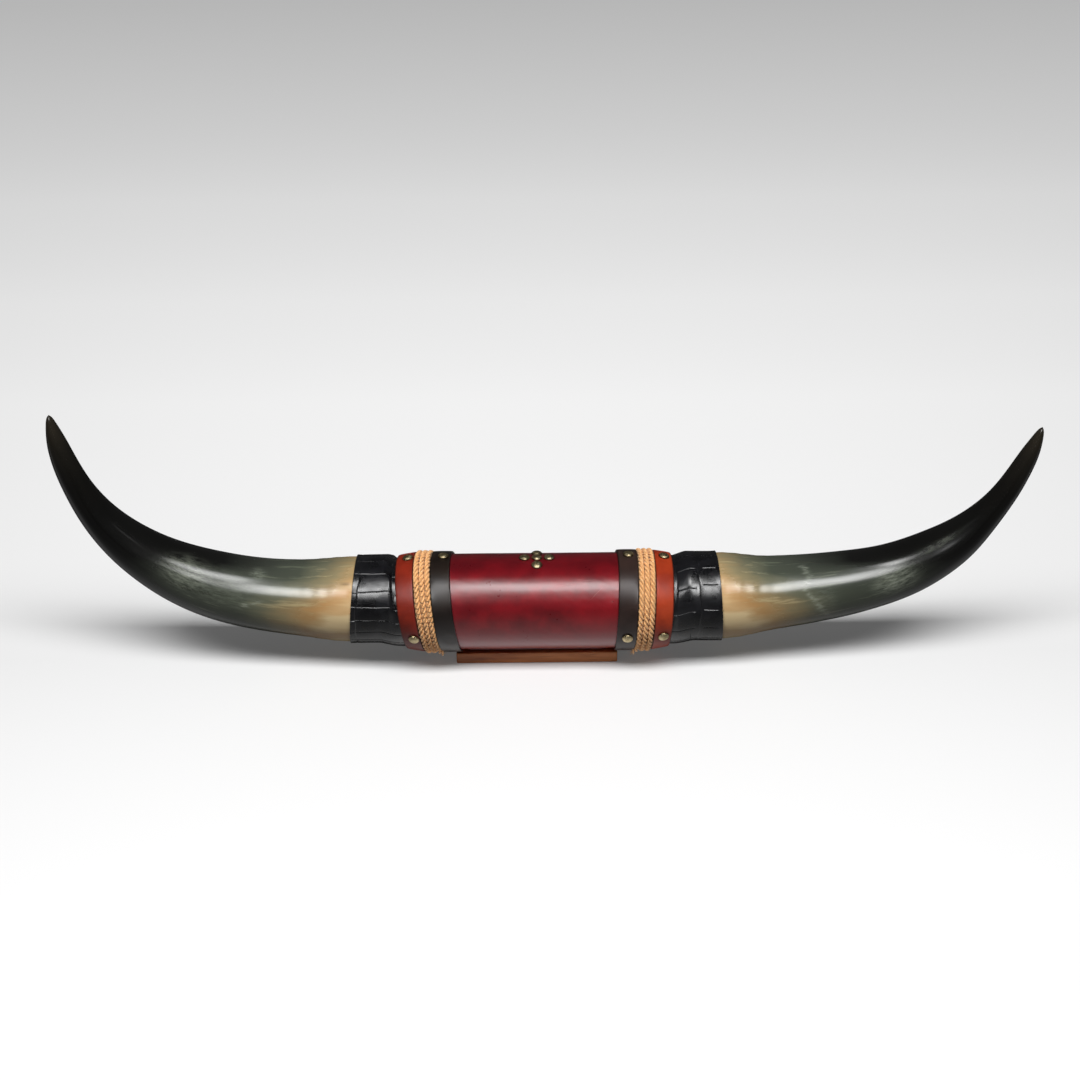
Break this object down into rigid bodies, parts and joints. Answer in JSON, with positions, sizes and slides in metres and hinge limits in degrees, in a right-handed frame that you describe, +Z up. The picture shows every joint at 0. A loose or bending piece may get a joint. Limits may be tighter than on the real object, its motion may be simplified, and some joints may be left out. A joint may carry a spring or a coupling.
{
  "type": "mounted bull horns",
  "caption": "Pair of polished curved horns joined end to end by a leather-wrapped drum with straps, rope and tacks, standing on a small board.",
  "frame": {"origin": "middle of the flat underside of the mounting board", "axes": "+X along the span towards the right-hand horn as seen from the front, +Z up from the board through the drum, -Y towards the front"},
  "size_m": [0.9636, 0.1042, 0.2707],
  "materials": {
    "horn": "polished keratin, ivory at the base, grey-green in the middle and near black at the tip",
    "embossed_leather": "glossy black leather with an embossed scale pattern",
    "oxblood_leather": "oxblood leather with a satin, slightly mottled finish",
    "dark_leather": "matte brown-black strap leather",
    "tan_leather": "russet strap leather, satin, with dark cut edges",
    "rope": "golden tan three-strand laid rope",
    "core_wood": "turned softwood, hidden",
    "board_wood": "red-brown stained wood",
    "brass": "aged brass",
    "steel": "zinc-plated steel"
  },
  "bodies": {
    "root": {"wood_core": "core_wood", "center_leather": "oxblood_leather", "mounting_board": "board_wood", "left_board_screw": "steel", "left_horn": "horn", "left_cuff": "embossed_leather", "left_dark_strap": "dark_leather", "left_tan_strap": "tan_leather", "left_rope": "rope", "right_board_screw": "steel", "right_horn": "horn", "right_cuff": "embossed_leather", "right_dark_strap": "dark_leather", "right_tan_strap": "tan_leather", "right_rope": "rope", "cross_tack_middle": "brass", "cross_tack_left": "brass", "cross_tack_right": "brass", "cross_tack_front": "brass", "cross_tack_back": "brass", "left_dark_strap_tack_top": "brass", "left_dark_strap_tack_back": "brass", "left_tan_strap_tack_top": "brass", "left_tan_strap_tack_front": "brass", "left_tan_strap_tack_back": "brass", "right_dark_strap_tack_top": "brass", "right_dark_strap_tack_front": "brass", "right_dark_strap_tack_back": "brass", "right_tan_strap_tack_top": "brass", "right_tan_strap_tack_front": "brass", "right_tan_strap_tack_back": "brass"}
  },
  "joints": []
}
